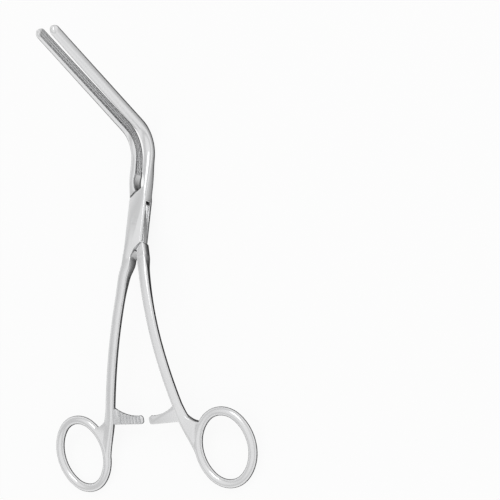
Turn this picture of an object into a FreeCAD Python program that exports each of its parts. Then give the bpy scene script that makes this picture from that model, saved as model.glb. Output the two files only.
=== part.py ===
"""Vascular clamp with a box lock, angled toothed jaws, ratchet bars and finger rings.

The pin of the lock is the origin while the halves are drawn: X is the way the clamp opens, Y runs from
the pin towards the jaws and Z is the pin's own axis. Each half is drawn closed, then swung open by half
the resting gap, and the whole clamp is tilted until the rings and the heel of the jaws lie level.
"""
import FreeCAD, Part
import math
import os
import Sketcher
from FreeCAD import Placement, Rotation, Vector

doc = FreeCAD.newDocument("vascular_clamp")

# Driving dimensions, in millimetres and degrees
DIMS = [
    ("half_opening", 2.6, "each half swung open at rest, degrees"),
    ("lock_width", 8.6, "box lock across the cheeks"),
    ("lock_thickness", 5.6, "box lock along the pin"),
    ("lock_corner", 10.3, "pin to the side corner of a cheek"),
    ("lock_crotch", 15.2, "pin to the crotch where the cheek ends"),
    ("crotch_side", 2.2, "crotch beside the middle line"),
    ("slot_corner", 8.7, "pin to where the slot opens at the side"),
    ("slot_height", 2.8, "slot between the cheeks"),
    ("tongue_gap", 0.08, "free space on each face of the tongue"),
    ("tongue_inset", 0.15, "free space round the tongue in its plan"),
    ("shoulder_gap", 0.2, "free space at the slanted shoulders"),
    ("cheek_chamfer", 0.6, "chamfer round the cheeks"),
    ("pin_radius", 1.6, "rivet of the lock"),
    ("pin_clearance", 0.04, "running clearance round the rivet"),
    ("root_length", 16.6, "pin to the end of the solid root"),
    ("root_width", 4.7, "jaw root from the middle line outwards"),
    ("root_overlap", 0.9, "start of the jaw inside the end of its root"),
    ("fork_down", 13.4, "pin to the corner where the lower edge of the cheek meets the shank"),
    ("fork_side", 2.0, "that corner from the middle line"),
    ("fork_gap", 0.2, "between that corner and the other shank"),
    ("fork_wide", 2.7, "half the root of the shank that carries the cheeks"),
    ("fork_thin", 1.7, "half the root of the shank that carries the tongue"),
    ("fork_shift", 0.75, "the two roots from their middle, towards the thinner one"),
    ("bend_start", 29.3, "pin to the start of the bend"),
    ("bend_radius", 13.5, "bend of the jaw, at its middle"),
    ("bend_angle", 70, "bend of the jaw, degrees"),
    ("jaw_skew", 1.2, "jaw turned towards its tip, degrees, so that a closed pair meets there first"),
    ("jaw_reach", 64.5, "straight part beyond the bend"),
    ("jaw_width", 4.8, "clamping face at the bend"),
    ("tip_width", 4.4, "clamping face at the tip"),
    ("jaw_depth", 3.6, "back of the jaw to its face, at the bend"),
    ("tip_depth", 2.5, "back of the jaw to its face, at the tip"),
    ("jaw_rounding", 1.8, "rounding along the back of the jaw"),
    ("relief_end", 22.0, "pin to the first tooth"),
    ("relief_depth", 1.35, "hollow behind the teeth"),
    ("relief_overlap", 1.0, "start of the hollow below the end of the root"),
    ("groove_width", 0.5, "long grooves of the face"),
    ("groove_depth", 0.4, "long grooves of the face"),
    ("groove_offset", 1.15, "outer grooves from the middle of the face"),
    ("groove_lead", 0.5, "grooves start this much before the first tooth"),
    ("tooth_pitch", 1.0, "one tooth to the next"),
    ("tooth_depth", 0.3, "notch between two teeth"),
    ("notch_share", 0.36, "half a notch, as a share of the pitch"),
    ("shank_length", 63.0, "lock to the bow of the shank"),
    ("shank_start", 17.5, "pin to the start of the shank"),
    ("shank_spread", 3.3, "shank from the middle line at its start"),
    ("shank_lean", 0.1355, "sideways run of the shank per length"),
    ("shank_bow", 0.0007, "bow of the shank outwards"),
    ("drop_start", 20.0, "pin to where the shank starts to drop"),
    ("drop_radius", 144.0, "curve of the drop"),
    ("shank_width", 4.3, "shank across, at the lock"),
    ("shank_thin", 4.0, "shank across, at the rings"),
    ("shank_depth", 3.5, "shank along the pin's axis, at the rings"),
    ("narrowing_share", 0.5, "share of the shank on which its width falls"),
    ("thinning_share", 0.625, "share of the shank on which its depth falls"),
    ("shank_chamfer", 1.15, "bevel along the shank's edges"),
    ("shank_overlap", 0.75, "start of the shank inside the end of the lock"),
    ("ring_side", 34.25, "ring centre from the middle line"),
    ("ring_down", 99.4, "pin to the ring centre"),
    ("ring_long", 13.7, "half the hole, the long way"),
    ("ring_short", 11.6, "half the hole, the short way"),
    ("ring_end_radius", 10.0, "curve of the hole at its two long ends"),
    ("ring_lean", 6.6, "ring turned outwards, degrees"),
    ("ring_band", 3.7, "ring band in its own plane"),
    ("ring_depth", 3.5, "ring band through its thickness"),
    ("ring_chamfer", 1.2, "bevel along the ring's edges"),
    ("ring_joint", -6.0, "where the shank runs into the ring, degrees above its inner side"),
    ("ring_inset", 0.3, "end of the shank smaller than the band that it runs into"),
    ("web_top", 19.0, "ring centre to the upper end of the web"),
    ("web_depth", 2.5, "web between shank and ring"),
    ("web_inset", 1.0, "upper end of the web beside the middle of the shank"),
    ("web_swell", 3.4, "middle of the web's upper edge beside that end"),
    ("web_grip", 2.2, "end of the upper edge past the inner side of the hole"),
    ("web_foot", 0.8, "lowest corner past the inner side of the hole"),
    ("ratchet_down", 85.2, "pin to the ratchet bars"),
    ("ratchet_reach", 1.8, "ratchet bar past the middle line"),
    ("ratchet_short", 0.9, "how much less the other bar reaches"),
    ("ratchet_back", 2.2, "middle line of the ratchet bar to its back edge"),
    ("ratchet_front", 1.7, "middle line of the ratchet bar to its front edge"),
    ("ratchet_depth", 1.6, "ratchet bar through its thickness"),
    ("ratchet_gap", 0.1, "free space in front of each bar's teeth"),
    ("ratchet_pitch", 1.8, "one ratchet tooth to the next"),
    ("ratchet_tooth", 0.7, "depth of a ratchet tooth"),
    ("ratchet_lead", 0.6, "blunt tip of the bar to its first tooth"),
    ("ratchet_nose", 0.8, "length of the blunt tip along its back"),
    ("ratchet_cheek", 1.0, "length of the blunt tip along its front"),
    ("ratchet_count", 7, "teeth on each bar"),
]
sheet = doc.addObject("Spreadsheet::Sheet", "Dims")
for row, (alias, number, note) in enumerate(DIMS, 1):
    sheet.set(f"A{row}", note)
    sheet.set(f"B{row}", str(number))
    sheet.setAlias(f"B{row}", alias)
doc.recompute()


def dim(alias):
    """Size of that name in the sheet."""
    return float(sheet.get(alias))


# Places of the shank's sections, as shares of its length
SHANK_SECTIONS = (0, 0.12, 0.3, 0.55, 0.8, 1)

# Heights of the web's corners above the ring's centre, as shares of its top
WEB_HEIGHTS = (1, 0.7, 0.58, 0.26, 0.53)

# Edges of the ratchet bar, as shares of its back and front: back, blunt tip and curved root
BAR_BACK = 0.9
TIP_BACK = 0.55
TIP_FRONT = 0.5
CURVE_MIDDLE = (3.9, 1.7)
CURVE_END = 3.3

# Nearness at which an edge counts as lying on a face, and how finely the resting height is read
ON_FACE = 0.01
ON_SIDE = 0.05
READ_TOLERANCE = 0.1
STEEPEST_TILT = -45.0
HALVINGS = 30

# Frames: where a sketch lies
SIDE_VIEW = Rotation(Vector(0, 1, 0), Vector(0, 0, 1), Vector(1, 0, 0), "ZXY")


def frame(origin, x_axis, z_axis):
    """Placement with its own X and Z axes along the two given directions."""
    y_axis = z_axis.cross(x_axis)
    return Placement(origin, Rotation(x_axis, y_axis, z_axis, "ZXY"))


def sketch_in(body, name, placement=Placement()):
    """Sketch attached to the body's ground plane and moved from it by a placement."""
    sketch = body.newObject("Sketcher::SketchObject", name)
    plane = [item for item in body.Origin.OriginFeatures if item.Role == "XY_Plane"][0]
    sketch.AttachmentSupport = [(plane, "")]
    sketch.MapMode = "FlatFace"
    sketch.AttachmentOffset = placement
    return sketch


def polygon(sketch, points):
    """Closed outline of straight lines through (x, y) points."""
    corners = [Vector(x, y, 0) for x, y in points]
    for start, end in zip(corners, corners[1:] + corners[:1]):
        sketch.addGeometry(Part.LineSegment(start, end))


def rounded_box(sketch, left, right, half, near, far, level=0.0):
    """Rectangle from left to right, half wide each way from a level, its two pairs of corners rounded."""
    diagonal = math.sqrt(0.5)
    ends = []
    for x, out_x, out_y, radius in ((right, 1, -1, far), (right, 1, 1, far), (left, -1, 1, near),
                                    (left, -1, -1, near)):
        centre = Vector(x - out_x * radius, level + out_y * (half - radius), 0)
        corner = [centre + Vector(out_x * radius, 0, 0), centre + Vector(0, out_y * radius, 0)]
        if out_x == out_y:
            first, last = corner
        else:
            last, first = corner
        if radius:
            middle = centre + Vector(out_x, out_y, 0) * radius * diagonal
            sketch.addGeometry(Part.Arc(first, middle, last))
        ends.append((first, last))
    for (start, last), (first, end) in zip(ends, ends[1:] + ends[:1]):
        sketch.addGeometry(Part.LineSegment(last, first))


def bevelled_box(sketch, left, right, half, bevel):
    """Rectangle from left to right, half wide each way, with its four corners cut off."""
    polygon(sketch, [(left + bevel, -half), (right - bevel, -half), (right, bevel - half), (right, half - bevel),
                     (right - bevel, half), (left + bevel, half), (left, half - bevel), (left, bevel - half)])


def pad(body, sketch, name, size):
    """Plate as thick as a size from the sheet, half of it on each side of its sketch."""
    feature = body.newObject("PartDesign::Pad", name)
    feature.Profile = sketch
    feature.SideType = "Symmetric"
    feature.setExpression("Length", size)
    return feature


def pocket(body, sketch, name, size):
    """Cut as deep as a size in the sheet, half of it on each side of its sketch."""
    feature = body.newObject("PartDesign::Pocket", name)
    feature.Profile = sketch
    feature.SideType = "Symmetric"
    feature.setExpression("Length", size)
    return feature


# Lines of the clamp that both halves share
def face_point(along, across=0.0):
    """Point of the clamping face, and its direction, a given way along the middle of the jaw."""
    radius = dim("bend_radius")
    angle = math.radians(dim("bend_angle"))
    start = dim("bend_start")
    arc_end = start + radius * angle
    turn = min(max((along - start) / radius, 0), angle)
    straight = along if along < start else start
    beyond = max(along - arc_end, 0)
    y = straight + radius * math.sin(turn) + beyond * math.cos(turn) - across * math.sin(turn)
    z = radius * (1 - math.cos(turn)) + beyond * math.sin(turn) + across * math.cos(turn)
    return Vector(0, y, z), Vector(0, math.cos(turn), math.sin(turn))


def jaw_length():
    """Pin to tip along the middle of the jaw."""
    return dim("bend_start") + dim("bend_radius") * math.radians(dim("bend_angle")) + dim("jaw_reach")


def shank_point(down):
    """Middle of the shank on the +X side, and its direction, a given way below the pin."""
    below = down - dim("shank_start")
    spread = dim("shank_spread") + dim("shank_lean") * below + dim("shank_bow") * below ** 2
    slope = dim("shank_lean") + 2 * dim("shank_bow") * below
    fallen = max(down - dim("drop_start"), 0)
    drop = fallen ** 2 / (2 * dim("drop_radius"))
    direction = Vector(slope, -1, -fallen / dim("drop_radius"))
    return Vector(spread, -down, -drop), direction.normalize()


def handle_slope():
    """Fall of the rings' plane, in degrees: the shank's own slope at its end."""
    end = dim("shank_start") + dim("shank_length")
    return math.degrees(math.atan((end - dim("drop_start")) / dim("drop_radius")))


def handle_frame(x, down, lean=0.0):
    """Frame in the rings' plane, over a point x beside and down below the pin."""
    end = dim("shank_start") + dim("shank_length")
    height = shank_point(end)[0].z - (down - end) * math.tan(math.radians(handle_slope()))
    tilt = Rotation(Vector(1, 0, 0), handle_slope())
    return Placement(Vector(x, -down, height), tilt * Rotation(Vector(0, 0, 1), lean))


# One half of the clamp: its jaw on one side of the middle line, its handle on the other
def shank_root(has_cheeks):
    """Inner and outer edge of the shank where it leaves the lock, from the middle line."""
    if has_cheeks:
        middle = dim("shank_spread") - dim("fork_shift")
        half = dim("fork_wide")
    else:
        middle = dim("shank_spread") + dim("fork_shift") / 2
        half = dim("fork_thin")
    return middle - half, middle + half


def lock_block(body, side, has_cheeks):
    """Solid ends of the lock: the jaw root above and the shank root below, in the plan view."""
    wide = dim("lock_width") / 2
    corner = dim("lock_corner")
    crotch = dim("lock_crotch")
    across = dim("crotch_side")
    root = dim("root_length")
    shank = dim("shank_start")
    fork = (dim("fork_side"), -dim("fork_down"))
    inner, outer = shank_root(has_cheeks)
    easing = root - dim("slot_corner") / 2
    sketch = sketch_in(body, "lock_plan")
    if has_cheeks:
        outline = [(wide, -corner), (wide, easing), (dim("root_width"), root), (across, root), (across, crotch),
                   (-wide, corner), (-wide, -easing), (-outer, -shank), (-inner, -shank), fork]
        polygon(sketch, [(side * x, y) for x, y in outline])
    else:
        gap = dim("shoulder_gap")
        low = corner + gap
        rise = (crotch - corner) / (across + wide)
        jaw_end = [(wide, low), (wide, easing), (dim("root_width"), root), (across, root),
                   (across, low + rise * (wide - across))]
        beside = fork[0] + dim("fork_gap")
        shank_end = [(-wide, -low), (-wide, -easing), (-outer, -shank), (-inner, -shank), (-beside, fork[1] - gap)]
        polygon(sketch, [(side * x, y) for x, y in jaw_end])
        polygon(sketch, [(side * x, y) for x, y in shank_end])
    return pad(body, sketch, "lock_body", "Dims.lock_thickness")


def tongue_outline(side):
    """Plan of the tongue in the slot of the half on that side, with its ends inside its own two roots."""
    free = dim("tongue_inset")
    wide = dim("lock_width") / 2 - free
    wall = dim("slot_corner") - free / 2
    top = dim("lock_crotch") - 2 * free
    across = dim("crotch_side") - free
    inside = dim("root_length") - 4 * free
    held = dim("fork_side") + 4 * free
    half = [(across, top), (wide, wall), (wide, -inside), (held, -inside), (held, -top)]
    return [(side * x, y) for x, y in half] + [(-side * x, -y) for x, y in half]


def jaw_skew(side):
    """Turn of the jaw about its tip, away from the middle line at its root."""
    tip = face_point(jaw_length())[0]
    return Placement(Vector(), Rotation(Vector(0, 0, 1), side * dim("jaw_skew")), Vector(0, tip.y, 0))


def jaw(body, side):
    """Jaw with its flat clamping face on the middle line: root, bend, tapering reach and round tip."""
    root = dim("root_length") - dim("root_overlap")
    start = dim("bend_start")
    end = jaw_length()
    arc_end = end - dim("jaw_reach")
    arc_middle = (start + arc_end) / 2
    half = dim("jaw_width") / 2
    tip_half = dim("tip_width") / 2
    centre = Vector(0, start, dim("bend_radius"))

    def at(along, across=0.0):
        point = face_point(along, across)[0] - centre
        return Vector(point.y, point.z, 0)

    skew = jaw_skew(side)
    path = sketch_in(body, "jaw_path", skew * Placement(centre, SIDE_VIEW))
    path.addGeometry(Part.Arc(at(start), at(arc_middle), at(arc_end)))
    path.addGeometry(Part.LineSegment(at(arc_end), at(end)))
    out = Vector(side, 0, 0)

    def section(name, along, half, depth, rounding):
        point, direction = face_point(along)
        sketch = sketch_in(body, name, skew * frame(point, out, direction * side))
        rounded_box(sketch, 0, depth, half, 0, rounding)
        return sketch

    def straight(name, sections):
        loft = body.newObject("PartDesign::AdditiveLoft", name)
        loft.Profile = sections[0]
        loft.Sections = sections[1:]
        loft.Ruled = True

    depth = dim("jaw_depth")
    back = dim("jaw_rounding")
    tip_depth = dim("tip_depth")
    tip_back = back * tip_depth / depth
    straight("jaw_root", [section("root_section", root, dim("lock_thickness") / 2, depth, back),
                          section("heel_section", start, half, depth, back)])
    radial = face_point(arc_middle)[0] - centre
    bend = sketch_in(body, "bend_section", skew * frame(centre, out, out.cross(radial)))
    rounded_box(bend, 0, depth, half, 0, back, dim("bend_radius"))
    turned = body.newObject("PartDesign::Revolution", "jaw_bend")
    turned.Profile = bend
    turned.ReferenceAxis = (bend, ["H_Axis"])
    turned.Midplane = True
    turned.setExpression("Angle", "Dims.bend_angle")
    straight("jaw_reach", [section("reach_section", arc_end, half, depth, back),
                           section("tip_section", end - tip_half, tip_half, tip_depth, tip_back),
                           section("end_section", end, tip_half, tip_depth, tip_back)])
    rounded = sketch_in(body, "tip_plan", skew * Placement(centre, SIDE_VIEW))
    rounded.addGeometry(Part.Arc(at(end - tip_half, -tip_half), at(end), at(end - tip_half, tip_half)))
    past = 2 * tip_half
    corners = [at(end - tip_half, tip_half), at(end - tip_half, past), at(end + tip_half, past),
               at(end + tip_half, -past), at(end - tip_half, -past), at(end - tip_half, -tip_half)]
    for first, last in zip(corners, corners[1:]):
        rounded.addGeometry(Part.LineSegment(first, last))
    pocket(body, rounded, "round_tip", "3 * Dims.jaw_depth")
    return path


def ring_arcs():
    """The four arcs of the oval hole: centre, radius, direction of the middle and half the sweep, in degrees."""
    long_way = dim("ring_long")
    short_way = dim("ring_short")
    end_radius = dim("ring_end_radius")
    squares = (long_way - end_radius) ** 2 + short_way ** 2 - end_radius ** 2
    side_radius = squares / (2 * (short_way - end_radius))
    up = long_way - end_radius
    across = side_radius - short_way
    meeting = math.degrees(math.atan2(up, across))
    return [(Vector(-across, 0, 0), side_radius, 0, meeting), (Vector(0, up, 0), end_radius, 90, 90 - meeting),
            (Vector(across, 0, 0), side_radius, 180, meeting), (Vector(0, -up, 0), end_radius, 270, 90 - meeting)]


def ring_point(side, angle):
    """Point in the middle of the ring's band and its direction, by the angle above the ring's inner side."""
    place = handle_frame(side * dim("ring_side"), dim("ring_down"), -side * dim("ring_lean"))
    centre, radius = ring_arcs()[0][:2]
    reach = radius + dim("ring_band") / 2
    turn = math.radians(angle)
    point = Vector(-side * (centre.x + reach * math.cos(turn)), reach * math.sin(turn), 0)
    direction = Vector(-side * math.sin(turn), -math.cos(turn), 0)
    return place.multVec(point), place.Rotation.multVec(direction)


def shank(body, side, has_cheeks):
    """Shank that bows outwards and drops as it goes from the lock, then swings into the ring's band."""
    start = dim("shank_start")
    length = dim("shank_length")
    stations = []
    inner, outer = shank_root(has_cheeks)
    for way in SHANK_SECTIONS:
        point, direction = shank_point(start + length * way)
        narrowed = min(way / dim("narrowing_share"), 1)
        wide = dim("shank_width") + (dim("shank_thin") - dim("shank_width")) * narrowed
        thinned = min(way / dim("thinning_share"), 1)
        deep = dim("lock_thickness") + (dim("shank_depth") - dim("lock_thickness")) * thinned
        bevel = dim("cheek_chamfer") + (dim("shank_chamfer") - dim("cheek_chamfer")) * way
        if not way:
            # the first section sits inside the end of the lock
            point = Vector((inner + outer) / 2, dim("shank_overlap") - start, 0)
            wide = outer - inner
        point.x *= side
        direction.x *= side
        stations.append((point, direction, wide, deep, bevel))
    # the last one is drawn a little smaller than the band, so that it ends inside it
    inset = dim("ring_inset")
    end, direction = ring_point(side, dim("ring_joint"))
    stations.append((end, direction, dim("ring_band") - inset, dim("ring_depth") - inset, dim("shank_chamfer")))
    sections = []
    for number, (point, direction, wide, deep, bevel) in enumerate(stations, 1):
        across = Vector(0, 0, 1).cross(direction).normalize()
        sketch = sketch_in(body, f"shank_section_{number}", frame(point, across, direction))
        bevelled_box(sketch, -wide / 2, wide / 2, deep / 2, bevel)
        sections.append(sketch)
    loft = body.newObject("PartDesign::AdditiveLoft", "shank")
    loft.Profile = sections[0]
    loft.Sections = sections[1:]


def finger_ring(body, side):
    """Oval ring on the end of the shank, with the thin web that ties the two together."""
    band = dim("ring_band")
    place = handle_frame(side * dim("ring_side"), dim("ring_down"), -side * dim("ring_lean"))
    web = sketch_in(body, "web_plan", handle_frame(0, dim("ring_down")))
    top = dim("web_top")
    shank_edge = shank_point(dim("ring_down") - top)[0].x + dim("web_inset")
    inner = dim("ring_side") - dim("ring_short")
    level = math.cos(math.radians(handle_slope()))
    sides = (shank_edge, shank_edge + dim("web_swell"), inner + dim("web_grip"), inner + dim("web_foot"),
             inner - band)
    corners = [Vector(side * x, height * top / level, 0) for x, height in zip(sides, WEB_HEIGHTS)]
    web.addGeometry(Part.Arc(corners[0], corners[1], corners[2]))
    for first, last in ((2, 3), (3, 4), (4, 0)):
        web.addGeometry(Part.LineSegment(corners[first], corners[last]))
    pad(body, web, "web", "Dims.web_depth")
    turned = place.Rotation
    for number, (centre, radius, middle, half) in enumerate(ring_arcs(), 1):
        outwards = Rotation(Vector(0, 0, 1), middle).multVec(Vector(1, 0, 0))
        along = turned.multVec(outwards.cross(Vector(0, 0, 1)))
        section = sketch_in(body, f"ring_section_{number}",
                            frame(place.multVec(centre), turned.multVec(outwards), along))
        bevelled_box(section, radius, radius + band, dim("ring_depth") / 2, dim("ring_chamfer"))
        arc = body.newObject("PartDesign::Revolution", f"ring_arc_{number}")
        arc.Profile = section
        arc.ReferenceAxis = (section, ["V_Axis"])
        arc.Midplane = True
        arc.Angle = 2 * half
    doc.recompute()


def ratchet(body, side, above):
    """Tapered bar towards the other shank, with saw teeth on the face that meets the other bar."""
    gap = dim("ratchet_gap")
    depth = dim("ratchet_depth")
    pitch = dim("ratchet_pitch")
    back = dim("ratchet_back")
    front = dim("ratchet_front")
    root = shank_point(dim("ratchet_down"))[0].x
    tip = dim("ratchet_short") * (above > 0) - dim("ratchet_reach")
    place = handle_frame(0, dim("ratchet_down"))
    middle = place.multVec(Vector(0, 0, above * (gap + depth / 2)))
    plan = sketch_in(body, "ratchet_plan", Placement(middle, place.Rotation))
    # from the root along the back to the blunt tip, then along the front to its curved root
    points = [Vector(side * x, y, 0) for x, y in (
        (root, -back), (tip + dim("ratchet_nose"), -BAR_BACK * back), (tip, -TIP_BACK * back),
        (tip, TIP_FRONT * front), (tip + dim("ratchet_cheek"), front),
        (root - CURVE_MIDDLE[0] * front, CURVE_MIDDLE[1] * front), (root - front, CURVE_END * front),
        (root, CURVE_END * front))]
    for start, end in zip(points, points[1:5]):
        plan.addGeometry(Part.LineSegment(start, end))
    plan.addGeometry(Part.Arc(points[4], points[5], points[6]))
    plan.addGeometry(Part.LineSegment(points[6], points[7]))
    plan.addGeometry(Part.LineSegment(points[7], points[0]))
    pad(body, plan, "ratchet_bar", "Dims.ratchet_depth")
    edge_on = frame(place.multVec(Vector(0, 0, above * gap)), place.Rotation.multVec(Vector(1, 0, 0)),
                    place.Rotation.multVec(Vector(0, 1, 0)))
    notch = sketch_in(body, "ratchet_notch", edge_on)
    first = side * (tip + dim("ratchet_lead"))
    last = first + side * pitch
    clear = above * gap / 2
    polygon(notch, [(first, clear), (last, clear), (last, -above * dim("ratchet_tooth"))])
    cut = pocket(body, notch, "ratchet_tooth_cut", "2 * Dims.lock_width")
    row = body.newObject("PartDesign::LinearPattern", "ratchet_teeth")
    row.Originals = [cut]
    row.Direction = (notch, ["H_Axis"])
    row.Mode = "Spacing"
    row.Reversed = side < 0
    row.setExpression("Offset", "Dims.ratchet_pitch")
    row.setExpression("Occurrences", "Dims.ratchet_count")
    body.Tip = row


def side_chamfer(body, base):
    """Chamfer on the long outer edges of the lock, front and back."""
    wide = dim("lock_width") / 2
    high = dim("lock_thickness") / 2
    names = []
    for number, edge in enumerate(base.Shape.Edges, 1):
        middle = edge.CenterOfMass
        if abs(abs(middle.z) - high) < ON_FACE and abs(middle.x) > wide - ON_SIDE:
            names.append(f"Edge{number}")
    chamfer = body.newObject("PartDesign::Chamfer", "lock_chamfer")
    chamfer.Base = (base, names)
    chamfer.setExpression("Size", "Dims.cheek_chamfer")
    return chamfer


def lock_cuts(body, side, has_cheeks):
    """Slot for the tongue, in the half that has the cheeks, and the hole for the rivet in both."""
    if has_cheeks:
        wide = dim("lock_width") / 2
        past = 2 * wide
        half = [(dim("crotch_side"), dim("lock_crotch")), (wide, dim("slot_corner")),
                (past, dim("slot_corner")), (past, -dim("lock_crotch"))]
        slot = sketch_in(body, "slot_plan")
        polygon(slot, [(side * x, y) for x, y in half] + [(-side * x, -y) for x, y in half])
        pocket(body, slot, "slot", "Dims.slot_height")
    hole = sketch_in(body, "pin_circle")
    hole.addGeometry(Part.Circle(Vector(), Vector(0, 0, 1), dim("pin_radius")))
    hole.addConstraint(Sketcher.Constraint("Coincident", 0, 3, -1, 1))
    radius = hole.addConstraint(Sketcher.Constraint("Radius", 0, dim("pin_radius")))
    hole.renameConstraint(radius, "hole_radius")
    play = "" if has_cheeks else " + Dims.pin_clearance"
    hole.setExpression("Constraints.hole_radius", "Dims.pin_radius" + play)
    pocket(body, hole, "pin_hole", "2 * Dims.lock_thickness")


def relief(body, side):
    """Hollow between the jaws, from the crotch of the lock to the first tooth."""
    low = dim("root_length") - dim("relief_overlap")
    end = dim("relief_end")
    deep = dim("relief_depth")
    skew = jaw_skew(side)
    leaning = (face_point(jaw_length())[0].y - low) * math.tan(math.radians(dim("jaw_skew")))
    across = dim("crotch_side") - leaning
    past = -2 * dim("crotch_side")
    points = [Vector(side * x, y, 0) for x, y in (
        (0, end), (deep, (end + low) / 2), (across, low), (past, low), (past, end))]
    sketch = sketch_in(body, "relief_plan", skew)
    sketch.addGeometry(Part.Arc(points[0], points[1], points[2]))
    for start, finish in ((2, 3), (3, 4), (4, 0)):
        sketch.addGeometry(Part.LineSegment(points[start], points[finish]))
    pocket(body, sketch, "relief", "2 * Dims.lock_thickness")


def long_groove(body, side, number, across):
    """Narrow groove along the clamping face, a given way from its middle."""
    half = dim("groove_width") / 2
    start = dim("relief_end") - dim("groove_lead")
    arc_start = dim("bend_start")
    arc_end = jaw_length() - dim("jaw_reach")
    arc_middle = (arc_start + arc_end) / 2
    end = jaw_length() - dim("tip_width") / 2

    def at(along, offset):
        point = face_point(along, across + offset)[0]
        return Vector(point.y, point.z, 0)

    sketch = sketch_in(body, f"groove_plan_{number}", jaw_skew(side) * Placement(Vector(), SIDE_VIEW))
    for offset in (-half, half):
        sketch.addGeometry(Part.LineSegment(at(start, offset), at(arc_start, offset)))
        sketch.addGeometry(Part.Arc(at(arc_start, offset), at(arc_middle, offset), at(arc_end, offset)))
        sketch.addGeometry(Part.LineSegment(at(arc_end, offset), at(end, offset)))
    for along in (start, end):
        sketch.addGeometry(Part.LineSegment(at(along, -half), at(along, half)))
    pocket(body, sketch, f"groove_{number}", "2 * Dims.groove_depth")


def tooth_row(body, side, path, name, along, end, row_half):
    """Cross-cut teeth over one stretch of the face: straight on, or round the bend with the path's axis."""
    pitch = dim("tooth_pitch")
    point, direction = face_point(along + pitch / 2)
    across = Vector(0, -direction.z, direction.y)
    half = pitch * dim("notch_share")
    deep = dim("tooth_depth")
    notch = sketch_in(body, f"{name}_notch", jaw_skew(side) * frame(point, direction, across))
    polygon(notch, [(-half, 0), (0, -deep), (half, 0), (0, deep)])
    cut = pocket(body, notch, f"{name}_cut", f"{2 * row_half}")
    turning = name == "bend_teeth"
    row = body.newObject("PartDesign::PolarPattern" if turning else "PartDesign::LinearPattern", name)
    row.Originals = [cut]
    row.Mode = "Spacing"
    if turning:
        row.Axis = (path, ["N_Axis"])
        row.setExpression("Offset", "Dims.tooth_pitch / Dims.bend_radius * 180 / pi")
    else:
        row.Direction = (notch, ["H_Axis"])
        row.setExpression("Offset", "Dims.tooth_pitch")
    row.Occurrences = int((end - along) / pitch)
    body.Tip = row
    doc.recompute()


def clamping_face(body, side, path, has_cheeks):
    """Grooves and fine teeth: one row between two grooves, or two rows among three."""
    offset = dim("groove_offset")
    if has_cheeks:
        grooves = (-offset / 2, offset / 2)
    else:
        grooves = (-offset, 0, offset)
    for number, across in enumerate(grooves, 1):
        long_groove(body, side, number, across)
    row_half = grooves[-1] - dim("groove_width") / 2
    arc_end = jaw_length() - dim("jaw_reach")
    tooth_row(body, side, path, "root_teeth", dim("relief_end"), dim("bend_start"), row_half)
    tooth_row(body, side, path, "bend_teeth", dim("bend_start"), arc_end, row_half)
    tooth_row(body, side, path, "reach_teeth", arc_end, jaw_length() - dim("tip_width") / 2, row_half)


def clamp_half(label, side, has_cheeks):
    """One half of the clamp with its jaw on the given side of the middle line."""
    body = doc.addObject("PartDesign::Body", label)
    body.Label = label
    if not has_cheeks:
        tongue = sketch_in(body, "tongue_plan")
        polygon(tongue, tongue_outline(-side))
        pad(body, tongue, "tongue", "Dims.slot_height - 2 * Dims.tongue_gap")
    block = lock_block(body, side, has_cheeks)
    doc.recompute()
    side_chamfer(body, block)
    path = jaw(body, side)
    shank(body, -side, has_cheeks)
    doc.recompute()
    finger_ring(body, -side)
    lock_cuts(body, side, has_cheeks)
    relief(body, side)
    doc.recompute()
    clamping_face(body, side, path, has_cheeks)
    ratchet(body, -side, -1 if has_cheeks else 1)
    doc.recompute()
    return body


box_half = clamp_half("box_half", 1, True)
tongue_half = clamp_half("tongue_half", -1, False)
hinge_pin = doc.addObject("Part::Cylinder", "hinge_pin")
hinge_pin.Label = "hinge_pin"
hinge_pin.setExpression("Radius", "Dims.pin_radius")
hinge_pin.setExpression("Height", "Dims.lock_thickness")
doc.recompute()


# How the clamp lies: opened a little, on its two rings and the heel of its jaws
def lowest(points, tilt):
    """Height of the lowest point once everything is tilted about X."""
    turn = Rotation(Vector(1, 0, 0), tilt)
    return min(turn.multVec(point).z for point in points)


swing = {box_half: -dim("half_opening"), tongue_half: dim("half_opening"), hinge_pin: -dim("half_opening")}
outline = []
for piece in (box_half, tongue_half):
    turn = Rotation(Vector(0, 0, 1), swing[piece])
    outline += [turn.multVec(point) for point in piece.Shape.tessellate(READ_TOLERANCE)[0]]
handles = [point for point in outline if point.y < -dim("ratchet_down")]
heels = [point for point in outline if point.y > dim("lock_crotch")]
small = STEEPEST_TILT
large = 0.0
for halving in range(HALVINGS):
    tilt = (small + large) / 2
    if lowest(heels, tilt) > lowest(handles, tilt):
        large = tilt
    else:
        small = tilt
lying = Rotation(Vector(1, 0, 0), tilt)
laid = [lying.multVec(point) for point in outline]
floor = min(point.z for point in laid)
middle = (min(point.y for point in laid) + max(point.y for point in laid)) / 2
for piece, angle in swing.items():
    piece.Placement = Placement(Vector(0, -middle, -floor), lying * Rotation(Vector(0, 0, 1), angle))
pin_foot = hinge_pin.Placement.Rotation.multVec(Vector(0, 0, -dim("lock_thickness") / 2))
hinge_pin.Placement.Base = hinge_pin.Placement.Base + pin_foot
doc.recompute()

pieces = (box_half, tongue_half, hinge_pin)
for item in doc.Objects:
    if "Invalid" in item.State or "Error" in item.State:
        raise RuntimeError(f"{item.Name} has not been built: {item.State}")
for piece in pieces:
    if piece.Shape.isNull() or not piece.Shape.isValid():
        raise RuntimeError(f"{piece.Label} has no valid shape")

os.makedirs("parts", exist_ok=True)
for piece in pieces:
    piece.Shape.exportStep(f"parts/{piece.Label}.step")
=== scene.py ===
"""Vascular clamp in satin steel on a white table: the frame's three solids dressed with finished ones."""
import math

import bmesh
import bpy
from mathutils import Matrix, Vector


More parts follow.
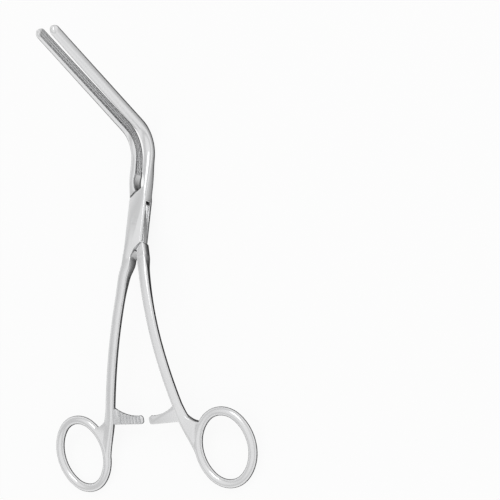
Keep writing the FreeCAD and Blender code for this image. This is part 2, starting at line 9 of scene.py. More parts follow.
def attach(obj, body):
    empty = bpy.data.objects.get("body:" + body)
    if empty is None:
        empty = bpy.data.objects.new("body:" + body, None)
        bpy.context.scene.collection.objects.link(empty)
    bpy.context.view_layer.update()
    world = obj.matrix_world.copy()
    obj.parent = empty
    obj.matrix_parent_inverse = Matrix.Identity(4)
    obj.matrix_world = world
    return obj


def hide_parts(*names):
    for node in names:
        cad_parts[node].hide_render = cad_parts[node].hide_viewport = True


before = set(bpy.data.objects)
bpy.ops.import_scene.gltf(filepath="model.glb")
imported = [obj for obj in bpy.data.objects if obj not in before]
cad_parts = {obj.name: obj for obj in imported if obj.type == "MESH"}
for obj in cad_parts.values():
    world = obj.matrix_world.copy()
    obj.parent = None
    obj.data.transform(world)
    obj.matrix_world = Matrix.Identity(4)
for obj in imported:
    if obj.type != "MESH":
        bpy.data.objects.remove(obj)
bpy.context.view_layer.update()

MM = 0.001

# How the clamp lies: its lock's middle, the tilt of the lock and half the opening of the jaws
LOCK_MIDDLE = Vector((0, 20.214, 7.888))
TILT = math.radians(-10.379)
HALF_OPENING = math.radians(2.6)

# Box lock, in millimetres from the rivet, with the jaws along +Y
LOCK_HALF = 4.3
LOCK_THICK = 5.6
LOCK_CORNER = 10.3
LOCK_CROTCH = 15.2
LOCK_EDGE = 0.35
CROTCH_SIDE = 2.2
SLOT_CORNER = 8.7
SLOT_END = 13.6
SLOT_HIGH = 2.8
SHOULDER_GAP = 0.4
TONGUE_GAP = 0.2
TONGUE_INSET = 0.3
TONGUE_HELD = 1.0
RIVET = 1.6
RIVET_PLAY = 0.04
RIVET_EDGE = 0.03

# Fork below the lock, where the two shanks part
FORK_DOWN = 12.7
FORK_SIDE = 1.2
FORK_GAP = 0.4
CHEEK_SHANK_HALF = 2.0
CHEEK_SHANK_ASIDE = -0.85
CHEEK_SHANK_EARLY = 2.2
CHEEK_SHANK_TUCK = 0.5
TONGUE_SHANK_ASIDE = 0.75
TONGUE_SHANK_DEEP = 4.4
TONGUE_SHANK_EARLY = 0.75
TONGUE_SHANK_EDGE = 0.7
TONGUE_SHANK_SLOPE = 0.4

# Jaw, measured along its middle line from the rivet
JAW_LOW = 9.0
ROOT_TOP = 16.6
BEND_START = 29.3
BEND_RADIUS = 13.5
BEND = math.radians(70)
REACH = 64.5
BEND_END = BEND_START + BEND_RADIUS * BEND
JAW_LONG = BEND_END + REACH
JAW_WIDE = 4.8
TIP_WIDE = 4.4
JAW_DEEP = 3.6
TIP_DEEP = 2.5
CHEEK_ROOT_DEEP = 3.15
TONGUE_ROOT_DEEP = 2.4
ROOT_ROUND = 1.1
JAW_ROUND = 1.8
JAW_SKEW = math.radians(1.2)
ROOT_CORNER = 0.5
ROOT_SLOPE = 0.9

# Hollow between the jaw roots: how far it lies behind the face in its middle and at its lower end
RELIEF_END = 22.0
HOLLOW_LOW = 13.5
CHEEK_HOLLOW = (1.8, 1.2)
TONGUE_HOLLOW = (0.5, -0.9)

# Clamping face
FACE_EDGE = 0.22
EDGE_SHARE = 0.3
GROOVE_WIDE = 0.56
GROOVE_DEEP = 0.55
GROOVE_WALL = 0.08
GROOVE_OFFSET = 1.15
TOOTH = 0.5
TOOTH_DEEP = 0.06
TOOTHED_TIP = 0.8

# Tip of the jaw: its fall towards the face, the step of its sections, and how narrow and round they get
TIP_FALL = 0.9
TIP_STEP = 0.12
TIP_SHARE = 0.12
TIP_ROUND_SHARE = 0.98

# Shank
SHANK_START = 17.5
SHANK_EASING = ROOT_TOP - SLOT_CORNER / 2
SHANK_LONG = 63.0
SHANK_STEPS = 44
SPREAD = 3.3
LEAN = 0.1355
BOW = 0.0007
DROP_START = 20.0
DROP_RADIUS = 144.0
SHANK_WIDE = 4.3
SHANK_THIN = 4.0
SHANK_DEEP = 3.5
SHANK_FLARE = 0.3

# Rounding of the shank at the lock, what it gains down the shank and what it gains into the ring
SHANK_ROUND = (0.5, 0.75, 0.4)

# Shares of the shank on which its width, depth, rounding, flare and root have come to their full size
WIDTH_SHARE = 0.5
CHEEK_DEPTH_SHARE = 0.28
TONGUE_DEPTH_SHARE = 0.4
ROUND_SHARE = 0.1
FLARE_SHARE = 0.08
CHEEK_ROOT_SHARE = 0.12
TONGUE_ASIDE_SHARE = 0.6

# Ring, and the run of the shank into it
RING_SIDE = 34.25
RING_DOWN = 99.4
RING_LONG = 13.7
RING_SHORT = 11.6
RING_END = 10.0
RING_LEAN = math.radians(6.6)
RING_DEEP = 3.5
RING_ROUND = 1.65
RING_STEPS = 28
BAND = 3.7
JOINT = math.radians(-13)
JOINT_STEPS = 14
JOINT_PULL = 0.36
JOINT_INSET = 0.2
JOINT_SWELL = 1.2

# Web between shank and ring, with the heights of its corners as shares of its top
WEB_TOP = 19.0
WEB_SHARES = (1, 0.7, 0.58, 0.26, -0.1, 0.9)
WEB_DEEP = 3.1
WEB_EDGE = 0.5
WEB_INSET = 1.0
WEB_SWELL = 3.4
WEB_GRIP = 2.2
WEB_FOOT = 0.4

# Ratchet bars
BAR_DOWN = 85.2
BAR_REACH = 1.8
BAR_SHORT = 0.9
BAR_DEEP = 1.6
BAR_GAP = 0.1
BAR_BACK = 2.2
BAR_FRONT = 1.7
BAR_EDGE = 0.28
NOSE_BACK = 0.8
NOSE_FRONT = 1.0
NOSE_LOW = 1.98
NOSE_TIP = 1.21
FILLET_REACH = 6.63
FILLET_MIDDLE = 2.89
FILLET_TOP = 5.61
SAW_LEAD = 0.6
SAW_PITCH = 1.8
SAW_TOOTH = 0.9
SAW_COUNT = 7

# Steps of roundings, and how far a cutting shape reaches past what it cuts
CIRCLE_STEPS = 48
ARC_STEPS = 12
CORNER_STEPS = 6
BACK_STEPS = 8
EDGE_STEPS = 3
CUT_PAST = 3.0
SAW_PAST = 9.0

# Angles from which an edge is eased, and from which it stays sharp
EASED_FROM = math.radians(30)
SHARP = math.radians(32)

# Scratches of the steel: how close they lie across, along and through it
SCRATCHES = (2600.0, 160.0, 2600.0)

# Table
TABLE_HALF = 1500
TABLE_THICK = 20
TABLE_GAP = 0.01

# Lamp, in metres and watts
LAMP_PLACE = Vector((0.3, 0.55, 0.8))
LAMP_AIM = Vector((0, 0, 0.02))
LAMP_SIZE = 0.5
LAMP_POWER = 1.2

# Camera: its place in millimetres, the way it looks, its lens and its sensor
CAMERA_PLACE = Vector((385.92, -73.235, 498.978))
AZIMUTH = math.radians(77.234)
ELEVATION = math.radians(55.606)
ROLL = math.radians(-82.423)
LENS = 103.207
SENSOR = 36


def turned(angle, axis):
    """Turn by an angle about an axis through the origin."""
    return Matrix.Rotation(angle, 4, axis)


def laid(side):
    """From a half drawn closed in millimetres, rivet at the origin, to where it lies, in metres."""
    return (Matrix.Scale(MM, 4) @ Matrix.Translation(LOCK_MIDDLE) @ turned(TILT, "X")
            @ turned(-side * HALF_OPENING, "Z"))


def face_point(along):
    """Point on the middle line of the clamping face and the way along it, in the YZ plane."""
    bent = min(max(along - BEND_START, 0) / BEND_RADIUS, BEND)
    direction = Vector((0, math.cos(bent), math.sin(bent)))
    y = min(along, BEND_START) + BEND_RADIUS * math.sin(bent)
    point = Vector((0, y, BEND_RADIUS * (1 - math.cos(bent))))
    point += direction * max(along - BEND_END, 0)
    return point, direction


def jaw_skew(side):
    """Turn of the jaw about its tip, away from the middle line at its root."""
    tip = Vector((0, face_point(JAW_LONG)[0].y, 0))
    return Matrix.Translation(tip) @ turned(side * JAW_SKEW, "Z") @ Matrix.Translation(-tip)


def shank_point(down):
    """Middle of the shank at a way below the rivet, and the way down it, for the half with its ring at +X."""
    below = down - SHANK_START
    x = SPREAD + LEAN * below + BOW * below ** 2
    fallen = max(down - DROP_START, 0)
    direction = Vector((LEAN + 2 * BOW * below, -1, -fallen / DROP_RADIUS)).normalized()
    return Vector((x, -down, -fallen ** 2 / (2 * DROP_RADIUS))), direction


HANDLE_SLOPE = math.atan((SHANK_START + SHANK_LONG - DROP_START) / DROP_RADIUS)


def handle_frame(x, down, lean=0.0):
    """Placement in the sloping plane of the rings: X to the side, Y up the shank, Z out of the plane."""
    end = SHANK_START + SHANK_LONG
    height = shank_point(end)[0].z - (down - end) * math.tan(HANDLE_SLOPE)
    return Matrix.Translation((x, -down, height)) @ turned(HANDLE_SLOPE, "X") @ turned(lean, "Z")


# Making closed solids
def solid(name, rings, caps=True):
    """Closed mesh from a list of rings of points that all have the same number of points."""
    mesh = bmesh.new()
    rows = [[mesh.verts.new(point) for point in ring] for ring in rings]
    count = len(rows[0])
    pairs = list(zip(rows, rows[1:]))
    if not caps:
        pairs.append((rows[-1], rows[0]))
    for near, far in pairs:
        for i in range(count):
            j = (i + 1) % count
            mesh.faces.new((near[i], near[j], far[j], far[i]))
    if caps:
        mesh.faces.new(rows[0])
        mesh.faces.new(rows[-1])
    bmesh.ops.recalc_face_normals(mesh, faces=mesh.faces)
    return to_object(name, mesh)


def to_object(name, mesh):
    """Object in the scene from a mesh that is being built."""
    data = bpy.data.meshes.new(name)
    mesh.to_mesh(data)
    mesh.free()
    obj = bpy.data.objects.new(name, data)
    bpy.context.scene.collection.objects.link(obj)
    return obj


def applied(obj):
    """The same object with its modifiers worked into its mesh."""
    graph = bpy.context.evaluated_depsgraph_get()
    data = bpy.data.meshes.new_from_object(obj.evaluated_get(graph))
    obj.modifiers.clear()
    obj.data = data
    return obj


def plate(name, outline, low, high, place=Matrix(), edge=0.0):
    """Flat outline given a thickness from low to high, with its edges eased by a small rounding."""
    obj = solid(name, [[place @ Vector((x, y, z)) for x, y in outline] for z in (low, high)])
    if edge:
        ease(obj, edge)
    return obj


def ease(obj, width):
    """Rounding worked into an object's sharp edges."""
    bevel = obj.modifiers.new("eased", "BEVEL")
    bevel.width = width
    bevel.segments = EDGE_STEPS
    bevel.limit_method = "ANGLE"
    bevel.angle_limit = EASED_FROM
    bevel.use_clamp_overlap = True
    applied(obj)


def join(base, others, operation="UNION"):
    """One closed mesh from several, or the first less the others."""
    for other in others:
        boolean = base.modifiers.new("joined", "BOOLEAN")
        boolean.operation = operation
        boolean.solver = "MANIFOLD"
        boolean.object = other
        applied(base)
        bpy.data.objects.remove(other)
    return base


def arc(start, middle, end):
    """Points on the arc through three points of a plane."""
    a, b, c = (Vector(point) for point in (start, middle, end))
    d = 2 * (a.x * (b.y - c.y) + b.x * (c.y - a.y) + c.x * (a.y - b.y))
    centre = Vector(((a.dot(a) * (b.y - c.y) + b.dot(b) * (c.y - a.y) + c.dot(c) * (a.y - b.y)) / d,
                     (a.dot(a) * (c.x - b.x) + b.dot(b) * (a.x - c.x) + c.dot(c) * (b.x - a.x)) / d))
    radius = (a - centre).length
    angles = [math.atan2((p - centre).y, (p - centre).x) for p in (a, b, c)]
    for i in (1, 2):
        angles[i] -= math.tau * round((angles[i] - angles[i - 1]) / math.tau)
    step = (angles[2] - angles[0]) / ARC_STEPS
    return [tuple(centre + radius * Vector((math.cos(angles[0] + step * i), math.sin(angles[0] + step * i))))
            for i in range(ARC_STEPS + 1)]


def circle(radius):
    """Points round a circle."""
    angles = [math.tau * i / CIRCLE_STEPS for i in range(CIRCLE_STEPS)]
    return [(radius * math.cos(angle), radius * math.sin(angle)) for angle in angles]


def smooth(obj):
    """Smooth faces, with the sharp edges kept."""
    for face in obj.data.polygons:
        face.use_smooth = True
    obj.data.set_sharp_from_angle(angle=SHARP)


def rounded_section(wide, deep, rounding):
    """Points round a rectangle with rounded corners, in its own plane."""
    points = []
    for quarter, (x, y) in enumerate(((1, 1), (-1, 1), (-1, -1), (1, -1))):
        centre = Vector((x * (wide / 2 - rounding), y * (deep / 2 - rounding)))
        for i in range(CORNER_STEPS + 1):
            angle = math.pi / 2 * (quarter + i / CORNER_STEPS)
            points.append(centre + rounding * Vector((math.cos(angle), math.sin(angle))))
    return points


def placed(points, origin, x_axis, y_axis):
    """Points of a plane section, set up in space."""
    return [origin + x_axis * p.x + y_axis * p.y for p in points]


def mirrored(points, side):
    """Points of the half with its ring at +X, moved to the given side."""
    return [Vector((side * p.x, p.y, p.z)) for p in points]


# The jaw
def eased(share):
    """Smooth run from 0 to 1 with level ends."""
    share = min(max(share, 0), 1)
    return share ** 2 * (3 - 2 * share)


def jaw_size(along, has_cheeks):
    """Half the width of the jaw, its depth and the rounding of its back, a given way along it."""
    taper = min(max((along - BEND_END) / (REACH - TIP_WIDE / 2), 0), 1)
    wide = JAW_WIDE + (LOCK_THICK - JAW_WIDE) * (1 - eased((along - ROOT_TOP) / (BEND_START - ROOT_TOP)))
    wide += (TIP_WIDE - JAW_WIDE) * taper
    thinner = JAW_DEEP - (CHEEK_ROOT_DEEP if has_cheeks else TONGUE_ROOT_DEEP)
    deep = JAW_DEEP + (TIP_DEEP - JAW_DEEP) * taper
    deep -= thinner * (1 - eased((along - JAW_LOW) / (RELIEF_END - JAW_LOW)))
    rounding = ROOT_ROUND + (JAW_ROUND - ROOT_ROUND) * eased((along - JAW_LOW) / (BEND_START - JAW_LOW))
    return wide / 2, deep, rounding * deep / JAW_DEEP


def hollow(along, has_cheeks):
    """How far the inner face lies behind the clamping face, between the lock and the first tooth."""
    middle, low = CHEEK_HOLLOW if has_cheeks else TONGUE_HOLLOW
    share = min(max((RELIEF_END - along) / (RELIEF_END - HOLLOW_LOW), 0), 1)
    return (4 * middle - low) * share + (2 * low - 4 * middle) * share ** 2


def face_profile(wide, grooves, cut, notch):
    """Points across the clamping face, side to side: grooves and, between them, the teeth's notch."""
    half_groove = GROOVE_WIDE / 2
    limit = wide - FACE_EDGE - GROOVE_WALL
    profile = []
    for groove in reversed(grooves):
        places = ((groove + half_groove, notch), (groove + half_groove - GROOVE_WALL, cut),
                  (groove - half_groove + GROOVE_WALL, cut), (groove - half_groove, notch))
        for number, (place, deep) in enumerate(places):
            outside = number == 0 and groove == grooves[-1] or number == 3 and groove == grooves[0]
            profile.append((0 if outside else deep, min(max(place, -limit), limit)))
    return profile


def jaw(side, has_cheeks):
    """Jaw with a rounded back and a half-round tip, grooves along its face and fine teeth across it."""
    grooves = (-GROOVE_OFFSET / 2, GROOVE_OFFSET / 2) if has_cheeks else (-GROOVE_OFFSET, 0, GROOVE_OFFSET)
    tip_half = TIP_WIDE / 2
    tip_start = JAW_LONG - tip_half
    skew = jaw_skew(side)
    stations = []
    along = JAW_LOW
    while along < JAW_LONG - TIP_STEP:
        stations.append(along)
        along += TOOTH / 2 if along < tip_start else TIP_STEP
    stations.append(JAW_LONG - TIP_STEP / 4)
    rings = []
    for number, along in enumerate(stations):
        point, direction = face_point(along)
        across = Vector((0, -direction.z, direction.y))
        wide, deep, rounding = jaw_size(along, has_cheeks)
        narrowed = math.sqrt(1 - min(max(along - tip_start, 0) / tip_half, 1) ** 2)
        wide *= max(narrowed, TIP_SHARE)
        rounding = min(rounding, TIP_ROUND_SHARE * wide)
        deep -= (1 - narrowed) * TIP_FALL
        back = hollow(along, has_cheeks)
        toothed = RELIEF_END < along < tip_start + TOOTHED_TIP
        cut = GROOVE_DEEP if toothed else 0
        notch = TOOTH_DEEP if toothed and number % 2 else 0
        edge = EDGE_SHARE * FACE_EDGE
        ring = [(FACE_EDGE, wide), (edge, wide - edge), (0, wide - FACE_EDGE)]
        ring += face_profile(wide, grooves, cut, notch)
        ring += [(0, FACE_EDGE - wide), (edge, edge - wide), (FACE_EDGE, -wide)]
        ring = [(back + x, y) for x, y in ring]
        for quarter in (-1, 1):
            for i in range(BACK_STEPS + 1):
                angle = math.pi / 2 * (1 - i / BACK_STEPS if quarter < 0 else i / BACK_STEPS)
                ring.append((deep - rounding + rounding * math.cos(angle),
                             quarter * (wide - rounding + rounding * math.sin(angle))))
        rings.append([skew @ (point + Vector((side * x, 0, 0)) + across * y) for x, y in ring])
    return solid("jaw", rings)


# The box lock
def shank_root(has_cheeks):
    """Inner and outer edge of the shank where it leaves the lock, from the middle line."""
    if has_cheeks:
        middle, half = SPREAD + CHEEK_SHANK_ASIDE, CHEEK_SHANK_HALF
    else:
        middle, half = SPREAD + TONGUE_SHANK_ASIDE, SHANK_WIDE / 2
    return middle - half, middle + half


def both_ends(outline, side):
    """An outline on the jaw's side, and the same turned half round the rivet, as one."""
    return [(side * x, y) for x, y in outline] + [(-side * x, -y) for x, y in outline]


def box_lock(side):
    """Jaw root, two cheeks and shank root of the half that holds the tongue, with the slot cut through."""
    inner, outer = shank_root(True)
    half = LOCK_THICK / 2
    outline = [(LOCK_HALF, -LOCK_CORNER), (LOCK_HALF, JAW_LOW + ROOT_CORNER),
               (LOCK_HALF - ROOT_SLOPE, LOCK_CROTCH), (CROTCH_SIDE, LOCK_CROTCH), (-LOCK_HALF, LOCK_CORNER),
               (-LOCK_HALF, -SHANK_EASING), (-outer, -SHANK_START), (-inner - CHEEK_SHANK_TUCK, -SHANK_START),
               (FORK_SIDE, -FORK_DOWN)]
    block = plate("lock", [(side * x, y) for x, y in outline], -half, half, edge=LOCK_EDGE)
    block = join(block, [jaw(side, True)])
    past = LOCK_HALF + CUT_PAST
    slot = [(CROTCH_SIDE, SLOT_END), (LOCK_HALF, SLOT_CORNER), (past, SLOT_CORNER), (past, -SLOT_END)]
    return join(block, [plate("slot", both_ends(slot, side), -SLOT_HIGH / 2, SLOT_HIGH / 2)], "DIFFERENCE")


def tongue_lock(side):
    """Jaw root, tongue and shank root of the half that runs through the slot."""
    inner, outer = shank_root(False)
    half = LOCK_THICK / 2
    rise = (LOCK_CROTCH - LOCK_CORNER) / (CROTCH_SIDE + LOCK_HALF)
    shoulder = LOCK_CORNER + SHOULDER_GAP
    past = LOCK_HALF + CUT_PAST
    below = [(past, shoulder - rise * (past - LOCK_HALF)), (-past, shoulder + rise * (past + LOCK_HALF)),
             (-past, 0), (past, 0)]
    room = plate("cheek_room", [(side * x, y) for x, y in below], -half - CUT_PAST, half + CUT_PAST)
    root = join(jaw(side, False), [room], "DIFFERENCE")
    low = LOCK_CORNER + FORK_GAP
    shank_end = [(-LOCK_HALF, -low), (-LOCK_HALF - TONGUE_SHANK_ASIDE, -low - TONGUE_SHANK_SLOPE),
                 (-outer, -SHANK_START), (-inner, -SHANK_START),
                 (-FORK_SIDE - FORK_GAP, -FORK_DOWN - FORK_GAP)]
    low_end = plate("lock_end", [(side * x, y) for x, y in shank_end], half - TONGUE_SHANK_DEEP, half,
                    edge=TONGUE_SHANK_EDGE)
    wide = LOCK_HALF - TONGUE_INSET
    top = SLOT_END - TONGUE_INSET
    inside = ROOT_TOP - TONGUE_HELD
    held = FORK_SIDE + TONGUE_HELD
    run = [(CROTCH_SIDE - TONGUE_INSET, top), (wide, SLOT_CORNER - TONGUE_INSET), (wide, -inside),
           (held, -inside), (held, -top)]
    high = SLOT_HIGH / 2 - TONGUE_GAP
    return join(plate("tongue", both_ends(run, -side), -high, high), [root, low_end])


# Shank, ring and web
def shank_line(has_cheeks):
    """Points down the shank and into the ring, with direction and way: 1 at the bow's end, 2 in the band."""
    early = CHEEK_SHANK_EARLY if has_cheeks else TONGUE_SHANK_EARLY
    line = []
    for i in range(SHANK_STEPS + 1):
        down = SHANK_START - early + (SHANK_LONG + early) * i / SHANK_STEPS
        point, direction = shank_point(down)
        line.append((point, direction, max((down - SHANK_START) / SHANK_LONG, 0)))
    start, start_direction, _ = line[-1]
    end, end_direction = ring_point(JOINT)
    pull = (end - start).length * JOINT_PULL
    a = start + start_direction * pull
    b = end - end_direction * pull
    for i in range(1, JOINT_STEPS + 1):
        t = i / JOINT_STEPS
        point = (1 - t) ** 3 * start + 3 * (1 - t) ** 2 * t * a + 3 * (1 - t) * t ** 2 * b + t ** 3 * end
        direction = 3 * (1 - t) ** 2 * (a - start) + 6 * (1 - t) * t * (b - a) + 3 * t ** 2 * (end - b)
        line.append((point, direction.normalized(), 1 + t))
    return line


def shank_section(way, has_cheeks):
    """Section of the shank a given way down it, wider towards the front by its flare."""
    inner, outer = shank_root(has_cheeks)
    wide = SHANK_WIDE + (SHANK_THIN - SHANK_WIDE) * min(way / WIDTH_SHARE, 1)
    if has_cheeks:
        wide += (outer - inner - wide) * (1 - eased(way / CHEEK_ROOT_SHARE))
        deep = SHANK_DEEP + (LOCK_THICK - SHANK_DEEP) * (1 - eased(way / CHEEK_DEPTH_SHARE))
        flare = SHANK_FLARE * (1 - eased(way - 1))
    else:
        deep = SHANK_DEEP + (TONGUE_SHANK_DEEP - SHANK_DEEP) * (1 - eased(way / TONGUE_DEPTH_SHARE))
        flare = SHANK_FLARE * eased(way / FLARE_SHARE) * (1 - eased(way - 1))
    if way > 1:
        wide += (BAND - JOINT_INSET - wide) * (way - 1) + JOINT_SWELL * math.sin(math.pi * (way - 1))
        deep += (RING_DEEP - JOINT_INSET - deep) * (way - 1)
    least, gained, last = SHANK_ROUND
    rounding = least + gained * eased(way / ROUND_SHARE) + last * eased(way - 1)
    return [Vector((p.x * (1 + flare * p.y / deep), p.y)) for p in rounded_section(wide, deep, rounding)]


def shank_shift(way, has_cheeks, x):
    """Move of a section off the shank's line, so that it meets the shank's root at the lock."""
    if has_cheeks:
        return Vector((sum(shank_root(True)) / 2 - x, 0, 0)) * (1 - eased(way / CHEEK_ROOT_SHARE))
    lift = (LOCK_THICK - TONGUE_SHANK_DEEP) / 2
    return Vector((TONGUE_SHANK_ASIDE, 0, lift)) * (1 - eased(way / TONGUE_ASIDE_SHARE))


def shank(side, has_cheeks):
    """Shank that grows out of the lock, bows and drops, and runs on into the ring."""
    loops = []
    for point, direction, way in shank_line(has_cheeks):
        across = Vector((0, 0, 1)).cross(direction).normalized()
        origin = point + shank_shift(way, has_cheeks, point.x)
        loop = placed(shank_section(way, has_cheeks), origin, across, direction.cross(across))
        loops.append(mirrored(loop, side))
    return solid("shank", loops)


def ring_arcs():
    """The four arcs of the oval hole: centre, radius, direction of the middle and half the sweep."""
    up = RING_LONG - RING_END
    side_radius = (up ** 2 + RING_SHORT ** 2 - RING_END ** 2) / (2 * (RING_SHORT - RING_END))
    across = side_radius - RING_SHORT
    meeting = math.atan2(up, across)
    quarter = math.pi / 2
    return [(Vector((-across, 0)), side_radius, 0, meeting),
            (Vector((0, up)), RING_END, quarter, quarter - meeting),
            (Vector((across, 0)), side_radius, 2 * quarter, meeting),
            (Vector((0, -up)), RING_END, 3 * quarter, quarter - meeting)]


def ring_place():
    """Placement of the ring at +X."""
    return handle_frame(RING_SIDE, RING_DOWN, -RING_LEAN)


def ring_point(angle):
    """Middle of the band of the ring at +X and the way along it, by the angle above its inner side."""
    centre, radius = ring_arcs()[0][:2]
    reach = radius + BAND / 2
    place = ring_place()
    point = Vector((-(centre.x + reach * math.cos(angle)), reach * math.sin(angle), 0))
    direction = Vector((-math.sin(angle), -math.cos(angle), 0))
    return place @ point, place.to_3x3() @ direction


def ring(side):
    """Oval finger ring, swept with a soft rounded section."""
    place = ring_place()
    section = rounded_section(BAND, RING_DEEP, RING_ROUND)
    loops = []
    for centre, radius, middle, half in ring_arcs():
        for i in range(RING_STEPS):
            angle = middle + half * (2 * i / RING_STEPS - 1)
            out = Vector((math.cos(angle), math.sin(angle), 0))
            origin = Vector((centre.x, centre.y, 0)) + out * (radius + BAND / 2)
            loop = placed(section, origin, out, Vector((0, 0, 1)))
            loops.append(mirrored([place @ p for p in loop], side))
    return solid("ring", loops, caps=False)


def web(side):
    """Thin web in the fork between the shank and the ring."""
    shank_edge = shank_point(RING_DOWN - WEB_TOP)[0].x + WEB_INSET
    inner = RING_SIDE - RING_SHORT
    level = math.cos(HANDLE_SLOPE)
    shank_middle = shank_point(SHANK_START + SHANK_LONG)[0].x
    sides = (shank_edge, shank_edge + WEB_SWELL, inner + WEB_GRIP, inner + WEB_FOOT, inner - BAND / 2,
             shank_middle)
    corners = [(x, share * WEB_TOP / level) for x, share in zip(sides, WEB_SHARES)]
    outline = arc(*corners[:3]) + corners[3:]
    place = Matrix.Diagonal((side, 1, 1, 1)) @ handle_frame(0, RING_DOWN)
    return plate("web", outline, -WEB_DEEP / 2, WEB_DEEP / 2, place, edge=WEB_EDGE)


# Ratchet
def ratchet(side, above):
    """Tapered bar towards the other shank, with saw teeth on the face that meets the other bar."""
    root = shank_point(BAR_DOWN)[0].x
    tip = BAR_SHORT * (above > 0) - BAR_REACH
    outline = [(root, -BAR_BACK), (tip + NOSE_BACK, -NOSE_LOW), (tip, -NOSE_TIP), (tip, BAR_FRONT / 2)]
    outline += arc((tip + NOSE_FRONT, BAR_FRONT), (root - FILLET_REACH, FILLET_MIDDLE),
                   (root - BAR_FRONT, FILLET_TOP))
    outline.append((root, FILLET_TOP))
    place = Matrix.Diagonal((side, 1, 1, 1)) @ handle_frame(0, BAR_DOWN)
    low, high = sorted((above * BAR_GAP, above * (BAR_GAP + BAR_DEEP)))
    bar = plate("ratchet", outline, low, high, place, edge=BAR_EDGE)
    notches = []
    for number in range(SAW_COUNT):
        first = tip + SAW_LEAD + SAW_PITCH * number
        last = first + SAW_PITCH
        clear = above * (BAR_GAP - 1)
        saw = [(first, clear), (last, clear), (last, above * (BAR_GAP + SAW_TOOTH)),
               (first, above * BAR_GAP)]
        wall = [[place @ Vector((x, y, z)) for x, z in saw] for y in (-SAW_PAST, SAW_PAST)]
        notches.append(solid("notch", wall))
    return join(bar, notches, "DIFFERENCE")


def clamp_half(name, side, has_cheeks):
    """One half in one piece: jaw, lock, shank, ring, web and ratchet bar, with its rivet hole."""
    half = box_lock(side) if has_cheeks else tongue_lock(side)
    bar = ratchet(-side, -1 if has_cheeks else 1)
    half = join(half, [shank(-side, has_cheeks), ring(-side), web(-side), bar])
    hole = circle(RIVET if has_cheeks else RIVET + RIVET_PLAY)
    half = join(half, [plate("hole", hole, -LOCK_THICK, LOCK_THICK)], "DIFFERENCE")
    half.name = name
    half.data.name = name
    half.data.transform(laid(side))
    half.data.validate()
    smooth(half)
    # the joins leave an empty place in the list of materials
    half.data.materials.clear()
    return half


def rivet():
    """Rivet ground flush with the cheeks."""
    end = LOCK_THICK / 2
    levels = ((RIVET - RIVET_EDGE, -end), (RIVET, RIVET_EDGE - end), (RIVET, end - RIVET_EDGE),
              (RIVET - RIVET_EDGE, end))
    rings = [[Vector((x, y, z)) for x, y in circle(radius)] for radius, z in levels]
    obj = solid("rivet", rings)
    obj.data.transform(laid(1))
    smooth(obj)
    return obj


# Materials
class Socket:
    """A socket with arithmetic: each operation adds a Math node."""

    def __init__(self, tree, link):
        self.tree = tree
        self.link = link

    def _do(self, operation, first, second, clamp=False):
        node = self.tree.nodes.new("ShaderNodeMath")
        node.operation = operation
        node.use_clamp = clamp
        for place, value in enumerate((first, second)):
            if isinstance(value, Socket):
                self.tree.links.new(value.link, node.inputs[place])
            else:
                node.inputs[place].default_value = value
        return Socket(self.tree, node.outputs[0])

    def __add__(self, other):
        return self._do("ADD", self, other)

    __radd__ = __add__

    def __mul__(self, other):
        return self._do("MULTIPLY", self, other)

    __rmul__ = __mul__

    def __sub__(self, other):
        return self._do("SUBTRACT", self, other)

    def __rsub__(self, other):
        return self._do("SUBTRACT", other, self)

    def clamped(self):
        return self._do("ADD", self, 0.0, True)


class Finish:
    """The nodes of a material or of the world, and one method that adds any node but Math."""

    def __init__(self, owner):
        owner.use_nodes = True
        self.tree = owner.node_tree
        self.tree.nodes.clear()

    def node(self, kind, settings=None, outlet=0, **inputs):
        """Node of a kind: its settings first, then the values or links of its sockets, by number or name."""
        node = self.tree.nodes.new("ShaderNode" + kind)
        sockets = dict(inputs)
        for key, value in (settings or {}).items():
            if isinstance(key, int):
                sockets[key] = value
            elif key == "stops":
                for place, tone in value:
                    node.color_ramp.elements.new(place).color = (tone, tone, tone, 1)
                node.color_ramp.elements.remove(node.color_ramp.elements[0])
                node.color_ramp.elements.remove(node.color_ramp.elements[-1])
            else:
                setattr(node, key, value)
        for key, value in sockets.items():
            socket = node.inputs[key if isinstance(key, int) else key.replace("_", " ")]
            if isinstance(value, Socket):
                self.tree.links.new(value.link, socket)
            else:
                socket.default_value = value
        return Socket(self.tree, node.outputs[outlet]) if node.outputs else None


def satin_steel():
    """Stainless steel brushed to a satin finish: fine scratches along it, soft blotches in the sheen."""
    material = bpy.data.materials.new("satin_steel")
    finish = Finish(material)
    place = finish.node("TexCoord", outlet="Object")
    fine = finish.node("Mapping", Vector=place, Scale=SCRATCHES, Rotation=(TILT, 0, 0))
    scratches = finish.node("TexNoise", Vector=fine, Scale=1.0, Detail=3.0, Roughness=0.6)
    cloud = finish.node("TexNoise", Vector=place, Scale=90.0, Detail=4.0, Roughness=0.55)
    rough = 0.17 + 0.09 * scratches + 0.06 * cloud
    tone = (0.35 * scratches + 0.65 * cloud).clamped()
    dull = (0.73, 0.735, 0.745, 1)
    bright = (0.86, 0.86, 0.86, 1)
    colour = finish.node("Mix", {"data_type": "RGBA", 0: tone, 6: dull, 7: bright}, outlet=2)
    bevel = finish.node("Bevel", {"samples": 4}, Radius=0.00028)
    bump = finish.node("Bump", Height=scratches, Strength=0.10, Distance=0.00002, Normal=bevel)
    steel = finish.node("BsdfPrincipled", Base_Color=colour, Metallic=1.0, Roughness=rough, Normal=bump)
    finish.node("OutputMaterial", Surface=steel)
    return material


def table_top():
    """White table that keeps the clamp's faint shadow."""
    material = bpy.data.materials.new("table_white")
    finish = Finish(material)
    seen = finish.node("LightPath", outlet="Is Camera Ray")
    diffuse = finish.node("BsdfDiffuse", Color=(0.80, 0.80, 0.80, 1))
    white = finish.node("Emission", Color=(1, 1, 1, 1), Strength=1.0)
    finish.node("OutputMaterial", Surface=finish.node("MixShader", {0: 0.9 * seen, 1: diffuse, 2: white}))
    return material


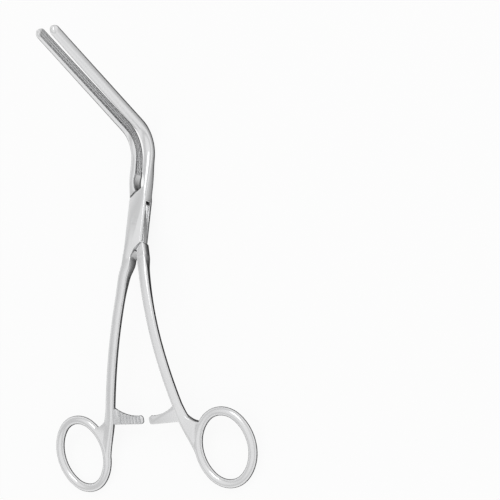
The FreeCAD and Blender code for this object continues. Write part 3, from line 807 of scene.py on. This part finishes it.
def tent():
    """White tent: bright beside and above, greyer in between, dark below and a little way up on the left."""
    world = bpy.data.worlds.new("tent")
    bpy.context.scene.world = world
    finish = Finish(world)
    place = finish.node("TexCoord", outlet="Generated")
    x = finish.node("SeparateXYZ", Vector=place, outlet="X")
    z = finish.node("SeparateXYZ", Vector=place, outlet="Z")
    stops = ((0.10, 0.02), (0.165, 0.10), (0.205, 0.48), (0.26, 0.92), (0.5, 0.96), (0.73, 0.60),
             (0.82, 0.92))
    tone = finish.node("ValToRGB", {"stops": stops}, Fac=0.5 + 0.5 * (z + 0.3 * x))
    finish.node("OutputWorld", Surface=finish.node("Background", Color=tone))


# The scene
steel = satin_steel()

HALVES = (("box_half", 1, True, "box_side"), ("tongue_half", -1, False, "tongue_side"))
for node, side, has_cheeks, body in HALVES:
    half = clamp_half(node.replace("half", "half_steel"), side, has_cheeks)
    half.data.materials.append(steel)
    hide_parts(node)
    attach(half, body)

pin = rivet()
pin.data.materials.append(steel)
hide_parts("hinge_pin")
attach(pin, "box_side")

corners = [(x * TABLE_HALF, y * TABLE_HALF) for x, y in ((-1, -1), (1, -1), (1, 1), (-1, 1))]
table = plate("table", corners, -TABLE_THICK, -TABLE_GAP)
table.data.transform(Matrix.Scale(MM, 4))
table.data.materials.append(table_top())
# the steel mirrors the tent in place of the table
table.visible_glossy = False

tent()

lamp_data = bpy.data.lights.new("key", "AREA")
lamp_data.shape = "SQUARE"
lamp_data.size = LAMP_SIZE
lamp_data.energy = LAMP_POWER
lamp = bpy.data.objects.new("key", lamp_data)
bpy.context.scene.collection.objects.link(lamp)
lamp.location = LAMP_PLACE
lamp.rotation_euler = (LAMP_AIM - LAMP_PLACE).to_track_quat("-Z", "Y").to_euler()

camera_data = bpy.data.cameras.new("camera")
camera_data.lens = LENS
camera_data.sensor_width = SENSOR
camera_data.clip_start = 0.01
camera_data.clip_end = 20
camera = bpy.data.objects.new("camera", camera_data)
bpy.context.scene.collection.objects.link(camera)
camera.matrix_world = (Matrix.Translation(CAMERA_PLACE * MM) @ turned(AZIMUTH, "Z")
                       @ turned(math.pi / 2 - ELEVATION, "X") @ turned(ROLL, "Z"))
bpy.context.scene.camera = camera

bpy.context.scene.view_settings.view_transform = "Standard"
